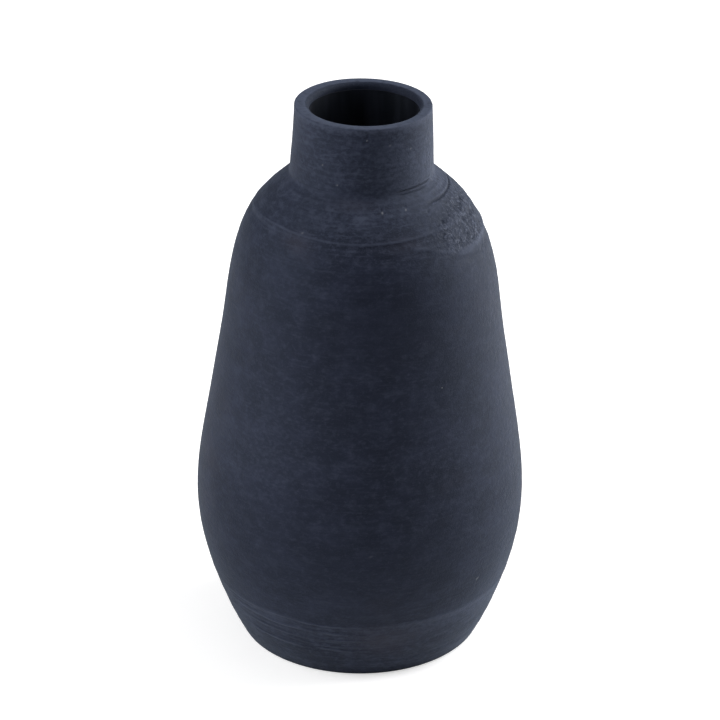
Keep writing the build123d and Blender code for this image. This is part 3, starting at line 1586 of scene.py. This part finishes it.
@dataclass(frozen=True)
class Studio:
    """The pale floor, the soft lamps and the camera.

    Attributes:
        aim_height: height of the point that the camera looks at.
        distance: from that point to the camera.
        elevation: the camera's height above the level, in degrees.
        lens: focal length in millimetres.
        sensor: width of the sensor in millimetres.
        floor_size: width of the floor.
        floor_drop: how far the floor lies under the foot.
        room: light that the room's white walls give.
        backdrop: how bright those walls look.
        lamps: the soft lamps.
    """

    aim_height: float = 0.1286
    distance: float = 1.424
    elevation: float = 26.49
    lens: float = 161.8
    sensor: float = 36.0
    floor_size: float = 9.0
    floor_drop: float = 0.2 * MM
    room: float = 0.08
    backdrop: float = 0.9
    lamps: tuple[Softbox, ...] = (
        Softbox("softbox_left", -75.0, 27.0, 1.5, 0.9, 1.9, 23.8),
        Softbox("softbox_right", 108.0, 24.0, 1.5, 1.2, 1.9, 44.5),
        Softbox("softbox_top", 0.0, 89.0, 1.6, 1.4, 1.4, 5.0),
    )

    def lay_floor(self, paper: bpy.types.Material) -> bpy.types.Object:
        """Lays the sheet of paper just under the foot.

        Args:
            paper: its material.

        Returns:
            The floor.
        """
        sheet = bmesh.new()
        bmesh.ops.create_grid(sheet, x_segments=2, y_segments=2, size=self.floor_size / 2)
        bmesh.ops.translate(sheet, verts=sheet.verts, vec=(0.0, 0.0, -self.floor_drop))
        mesh = bpy.data.meshes.new("paper_floor")
        sheet.to_mesh(mesh)
        sheet.free()
        mesh.materials.append(paper)
        floor = put_in_scene("paper_floor", mesh)
        return floor

    def light(self) -> None:
        """Lights the room and hangs the lamps."""
        world = bpy.data.worlds.new("white_room")
        world.use_nodes = True
        nodes, links = world.node_tree.nodes, world.node_tree.links
        walls = nodes["Background"]
        walls.inputs["Color"].default_value = (1.0, 1.0, 1.0, 1.0)
        path = nodes.new("ShaderNodeLightPath")
        seen = nodes.new("ShaderNodeMapRange")
        links.new(path.outputs["Is Camera Ray"], seen.inputs["Value"])
        seen.inputs["To Min"].default_value = self.room
        seen.inputs["To Max"].default_value = self.backdrop
        links.new(seen.outputs["Result"], walls.inputs["Strength"])
        bpy.context.scene.world = world
        target = Vector((0.0, 0.0, self.aim_height))
        for lamp in self.lamps:
            lamp.hang(target)

    def set_camera(self) -> bpy.types.Object:
        """Stands the camera in front of the vase, a little above it.

        Returns:
            The camera.
        """
        lens = bpy.data.cameras.new("camera")
        lens.lens = self.lens
        lens.sensor_width = self.sensor
        camera = put_in_scene("camera", lens)
        tilt = math.radians(self.elevation)
        away = Vector((0.0, -math.cos(tilt), math.sin(tilt))) * self.distance
        camera.location = Vector((0.0, 0.0, self.aim_height)) + away
        camera.rotation_euler = (math.pi / 2 - tilt, 0.0, 0.0)
        bpy.context.scene.camera = camera
        return camera


# ---------------------------------------------------------------------------------------------- vase


@dataclass
class Vase:
    """The whole vase, with the heights of its neck, coil and rim read from the frame.

    Attributes:
        slip: thickness of a slip joint.
        foot_tilt: degrees that the foot's joint rises outwards.
        shoulder_tilt: degrees that the shoulder's joint rises outwards.
        foot_joint: height of the foot's joint on the outside.
        shoulder_joint: height of the shoulder's joint on the outside.
        coil_bore: inside radius of the coil.
        glaze_line: how far below the rim the glaze ends.
        fine_step: spacing of the rows where the marks are fine.
        neck_start: height above which the neck was set a little askew.
        grog: size of a pale grain of grog.
        scratches: how many scratches the trimming tool left.
        gouges: how many small gouges and lumps the rough patch has.
        seed: which scratches and gouges they are.
    """

    slip: float = 0.8 * MM
    foot_tilt: float = -16.0
    shoulder_tilt: float = 22.0
    foot_joint: float = 32.0 * MM
    shoulder_joint: float = 196.0 * MM
    coil_bore: float = 29.7 * MM
    glaze_line: float = 3.0 * MM
    fine_step: float = 0.42 * MM
    neck_start: float = 215.0 * MM
    grog: float = 0.26 * MM
    scratches: int = 36
    gouges: int = 130
    seed: int = 31

    def marks(self, height: float) -> PottersHand:
        """What the potter's hands and the years left on this vase, and the highlight and shade painted
        on it.

        Args:
            height: height of the rim.

        Returns:
            The marks.
        """
        joint = self.foot_joint / MM
        lines = tuple(
            TurnedLine(at * MM, rise * MM, width * MM, middle, reach, climb * MM, wander * MM, seed)
            for at, rise, width, middle, reach, climb, wander, seed in (
                (joint + 1.0, 0.06, 1.3, 0.0, 400.0, 0.0, 1.2, 2),
                (joint + 0.6, 0.14, 0.9, -46.0, 30.0, 0.0, 0.5, 2),
                (joint - 0.4, 0.12, 1.6, 46.0, 36.0, 0.0, 0.5, 2),
                (27.5, 0.10, 0.6, -32.0, 34.0, -1.5, 0.5, 3),
                (29.6, 0.09, 0.5, -18.0, 30.0, -1.0, 0.5, 16),
                (9.5, -0.07, 0.9, 0.0, 400.0, 0.0, 0.5, 4),
                (197.8, 0.20, 1.0, 44.0, 26.0, -16.0, 0.3, 5),
                (194.6, 0.44, 1.2, 86.0, 40.0, 0.0, 0.3, 5),
                (190.6, -0.22, 1.1, 82.0, 34.0, -1.5, 0.3, 5),
                (187.8, 0.14, 0.8, 78.0, 34.0, -2.0, 0.3, 18),
                (205.2, 0.18, 0.45, -14.0, 62.0, 0.0, 0.9, 6),
                (205.2, 0.12, 0.6, 0.0, 400.0, 0.0, 0.9, 6),
                (203.8, -0.14, 0.8, 0.0, 400.0, 0.0, 0.9, 6),
                (206.0, 0.16, 0.7, 52.0, 26.0, 0.0, 0.5, 6),
                (208.8, -0.20, 1.2, 68.0, 30.0, 0.0, 0.5, 6),
                (204.2, 0.16, 0.6, -66.0, 44.0, 0.0, 0.5, 6),
                (201.4, 0.10, 0.4, 22.0, 22.0, 0.0, 0.5, 19),
                (199.6, -0.12, 0.4, 20.0, 26.0, 0.0, 0.5, 19),
                (192.4, -0.10, 0.4, 8.0, 22.0, 0.0, 0.5, 20),
                (190.9, 0.08, 0.4, 8.0, 22.0, 0.0, 0.5, 20),
                (212.6, 0.12, 0.5, 0.0, 70.0, 0.0, 0.5, 17),
                (210.4, -0.08, 0.5, -20.0, 80.0, 0.0, 0.5, 17),
                (213.6, -0.75, 0.26, 78.0, 33.0, -0.9, 0.1, 7),
                (214.5, 0.14, 0.5, 76.0, 46.0, -0.9, 0.1, 7),
                (217.2, 0.14, 0.45, 0.0, 95.0, 0.0, 0.5, 8),
                (221.6, 0.18, 0.40, 48.0, 26.0, -0.4, 0.1, 9),
                (220.6, -0.80, 0.34, 48.0, 23.0, -0.4, 0.1, 9),
                (219.2, -0.45, 0.28, 44.0, 18.0, -0.3, 0.1, 9),
                (220.9, -0.18, 0.35, -41.0, 26.0, 0.0, 0.1, 10),
                (248.9, -0.08, 0.28, -32.0, 42.0, 0.0, 0.1, 13),
            )
        )
        scatter = np.random.default_rng(self.seed)
        scratches = tuple(
            TurnedLine(
                scatter.uniform(16 * MM, 33 * MM),
                scatter.uniform(0.08 * MM, 0.26 * MM),
                scatter.uniform(0.26 * MM, 0.50 * MM),
                scatter.uniform(-60.0, -6.0),
                scatter.uniform(4.0, 15.0),
                scatter.uniform(-6.0 * MM, 2.0 * MM),
                seed=40 + count,
            )
            for count in range(self.scratches)
        )
        gouges = tuple(
            Pit(
                scatter.normal(69.0, 10.0),
                scatter.uniform(195.5 * MM, 210.0 * MM),
                scatter.uniform(0.40 * MM, 0.85 * MM),
                scatter.uniform(-0.28 * MM, 0.55 * MM),
            )
            for _ in range(self.gouges)
        )
        pits = tuple(
            Pit(angle, at * MM, size * MM, depth * MM)
            for angle, at, size, depth in (
                (3.0, 246.6, 0.6, 0.40),
                (14.0, 215.6, 0.7, 0.35),
                (31.0, 215.4, 0.5, 0.25),
                (46.0, 212.0, 0.6, 0.30),
                (-46.0, 216.8, 0.6, 0.20),
            )
        )
        specks = tuple(
            Pit(angle, at * MM, self.grog * size)
            for angle, at, size in (
                (3.0, 245.2, 1.0),
                (22.0, 242.3, 1.0),
                (42.0, 238.8, 1.0),
                (-34.0, 232.3, 1.0),
                (-20.0, 224.7, 1.0),
                (14.0, 214.7, 1.3),
                (31.0, 214.5, 1.0),
                (-34.0, 206.5, 1.0),
                (4.0, 70.3, 1.0),
                (10.0, 58.7, 1.0),
                (47.0, 45.7, 1.0),
            )
        )
        rubs_and_painted_light, smears = (
            tuple(
                WearAndLightPatch(angle, at * MM, across, tall * MM, strength)
                for angle, at, across, tall, strength in rows
            )
            for rows in (
                (
                    (25.0, 232, 40.0, 16, 0.06),
                    (48.0, 226, 24.0, 12, 0.26),
                    (18.0, 206, 14.0, 5, -0.35),
                    (0.0, 213, 5.0, 2.4, 0.85),
                    (-36.0, 124, 26.0, 30, 0.16),
                    (-28.0, 187, 14.0, 9, 0.08),
                    (12.0, 172, 20.0, 16, -0.45),
                    # painted shade: the lower front of the belly darker
                    (4.0, 60, 60.0, 20, -0.30),
                    # painted shade: the upper belly darker on the right
                    (62.0, 165, 32.0, 24, -0.35),
                    # painted highlight: the right flank of the neck lighter
                    (88.0, 228, 18.0, 13, 0.56),
                    # painted shadow: a dark line all round the foot's bottom edge, where it meets the
                    # table
                    (0.0, 0.6, 400.0, 1.8, -1.0),
                    # painted shade: a thin dark band just under the rim's outer edge, on the front left
                    (-18.0, 248.3, 55.0, 0.5, -0.7),
                    # painted shade: the front of the foot darker
                    (0.0, 12, 60.0, 8, -0.22),
                    (58.0, 28, 20.0, 6, 0.36),
                    (17.0, 150, 8.0, 5, 0.08),
                    (22.0, 111, 16.0, 7, 0.12),
                    (40.0, 30, 22.0, 4, 0.34),
                    (-38.0, 31, 14.0, 3, 0.26),
                    (11.0, 21, 14.0, 7, 0.12),
                    (47.0, 197, 7.0, 1.5, 0.45),
                    (84.0, 194.4, 20.0, 2.2, 0.80),
                    (72.0, 196.6, 13.0, 1.0, -0.50),
                    (80.0, 190.4, 16.0, 1.5, -0.40),
                    (78.0, 203, 12.0, 5, 0.30),
                    (62.0, 210.0, 14.0, 2, -0.60),
                    (70.0, 232, 20.0, 6, 0.14),
                    (80.0, 216.5, 24.0, 2, 0.30),
                    (86.0, 221, 22.0, 4.5, 0.50),
                    (-75.0, 221, 30.0, 1.5, 0.22),
                    (-62.0, 205, 20.0, 1.5, 0.14),
                ),
                (
                    (9.0, 23, 11.0, 8, 0.55),
                    (-36.0, 203, 8.0, 3, 0.35),
                    (-4.0, 217, 14.0, 2, 0.30),
                    (22.0, 204, 10.0, 3, 0.30),
                ),
            )
        )
        return PottersHand(
            lines + scratches,
            gouges + pits,
            specks,
            rubs_and_painted_light,
            smears,
            trim_height=self.foot_joint,
            neck_start=self.neck_start,
            height=height,
        )

    def build(self) -> list[bpy.types.Object]:
        """Makes every piece of the vase.

        Returns:
            The pieces: the thrown sections and the coil, then the slip, then the glaze.
        """
        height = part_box("neck")[1].z
        coil_low, coil_high = (corner.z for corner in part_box("neck_coil"))
        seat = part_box("shoulder")[1].z
        neck_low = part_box("neck")[0].z
        wheel = Wheel(Wall(height), self.marks(height))
        clay, slip, glaze = BlackStoneware().mix(), FiredSlip().mix(), LinerGlaze().mix()
        low_tilt, top_tilt = self.foot_tilt, self.shoulder_tilt
        foot_top, belly_low = self.faces(self.foot_joint, low_tilt)
        belly_top, shoulder_low = self.faces(self.shoulder_joint, top_tilt)
        fine, bore = self.fine_step, self.coil_bore
        sections = (
            Foot(wheel, "trimmed_foot", "foot", 0.0, foot_top, 0.0, low_tilt, 0.6 * MM),
            Section(wheel, "thrown_belly", "belly", belly_low, belly_top, low_tilt, top_tilt),
            Shoulder(
                wheel, "thrown_shoulder", "shoulder", shoulder_low, seat, top_tilt, 0.0, fine,
                coil_bore=bore, coil_low=coil_low, seat=seat,
            ),
            Neck(
                wheel, "thrown_neck", "neck", neck_low, height, outer_step=fine, inner_step=2 * MM,
                coil_bore=bore, coil_high=coil_high,
            ),
            NeckCoil(
                wheel, "pressed_coil", "neck_coil", coil_low, coil_high, outer_step=0.3 * MM, bore=bore
            ),
        )
        seams = (
            Section(wheel, "foot_slip", "foot_slip_seam", foot_top, belly_low, low_tilt, low_tilt, fine),
            Section(
                wheel, "shoulder_slip", "shoulder_slip_seam", belly_top, shoulder_low,
                top_tilt, top_tilt, fine,
            ),
            NeckSeam(wheel, "neck_slip", "neck_slip_seam", seat, neck_low, bore=bore),
        )
        for seam in seams:
            seam.slot = Slot.SLIP
        glazed = height - self.glaze_line
        liner = Liner(wheel, "poured_liner", "inner_glaze", 0.0, glazed, inner_step=4 * MM)
        pieces = [section.build(clay) for section in sections] + [seam.build(slip) for seam in seams]
        return pieces + [liner.build(glaze)]

    def faces(self, joint: float, tilt: float) -> tuple[float, float]:
        """Finds the two faces of a slip joint.

        Args:
            joint: height of its middle on the outside.
            tilt: degrees that it rises outwards.

        Returns:
            The heights of its lower and its upper face on the outside.
        """
        half = self.slip / 2 / math.cos(math.radians(tilt))
        return joint - half, joint + half


def main() -> None:
    """Builds the vase and its studio."""
    logging.basicConfig(level=logging.INFO, format="%(name)s: %(message)s")
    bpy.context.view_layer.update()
    pieces = Vase().build()
    studio = Studio()
    studio.lay_floor(StudioPaper().mix())
    studio.light()
    studio.set_camera()
    bpy.context.scene.view_settings.view_transform = "Standard"
    log.info("%d pieces made", len(pieces))


if __name__ == "__main__":
    main()
